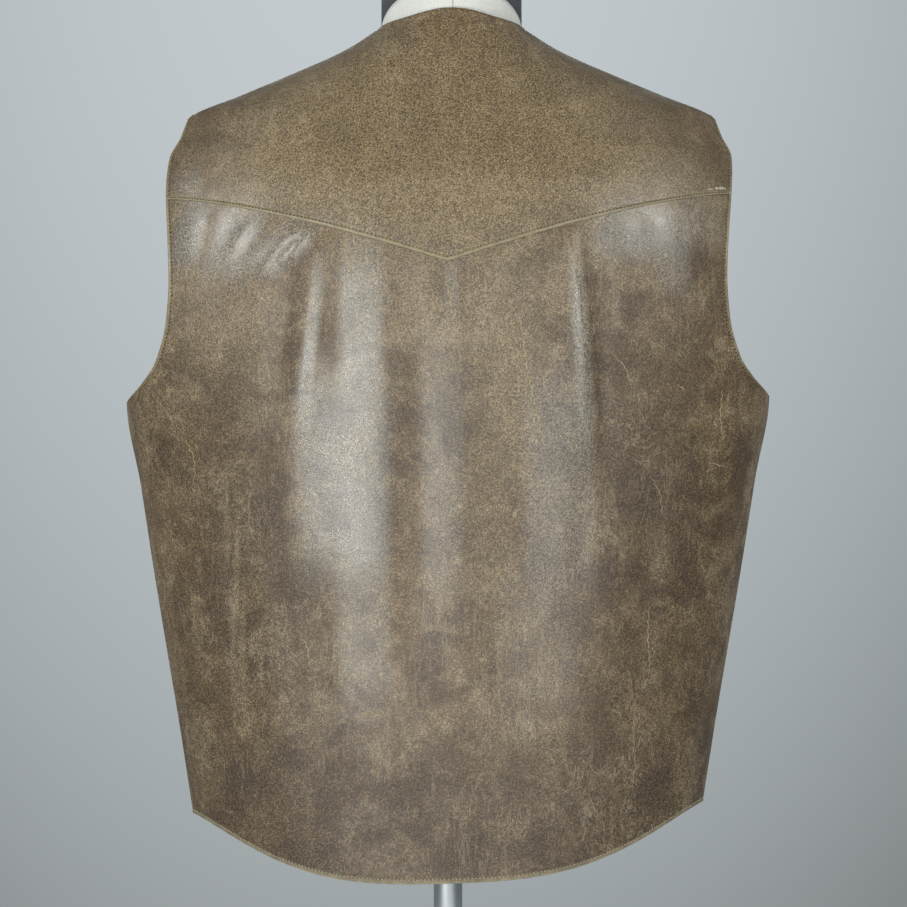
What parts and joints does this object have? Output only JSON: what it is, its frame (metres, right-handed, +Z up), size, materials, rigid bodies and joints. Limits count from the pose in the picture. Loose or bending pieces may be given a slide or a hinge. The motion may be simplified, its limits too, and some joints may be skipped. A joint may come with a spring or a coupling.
{
  "type": "leather vest on a dress form",
  "caption": "Waist-length leather vest with a pointed back yoke, snapped shut on a limbless dress form with a slim pole and round base.",
  "frame": {"origin": "centre of the round base's underside, on the surface that the stand rests on", "axes": "+X towards the wearer's left, -Y towards the wearer's front, +Z up"},
  "size_m": [0.494, 0.35, 0.9047],
  "materials": {
    "hide": "distressed brown hide, pebbled grain, semi-gloss",
    "snap": "antique brass, worn satin",
    "form_cloth": "tight white jersey cover, matte",
    "neck_cap": "dark grey, satin",
    "stand": "satin steel"
  },
  "bodies": {
    "root": {"back_body": "hide", "back_yoke": "hide", "front_left": "hide", "front_right": "hide", "snap_1": "snap", "snap_2": "snap", "snap_3": "snap", "snap_4": "snap", "form_torso": "form_cloth", "form_neck_cap": "neck_cap", "form_pole": "stand", "form_base": "stand"}
  },
  "joints": []
}
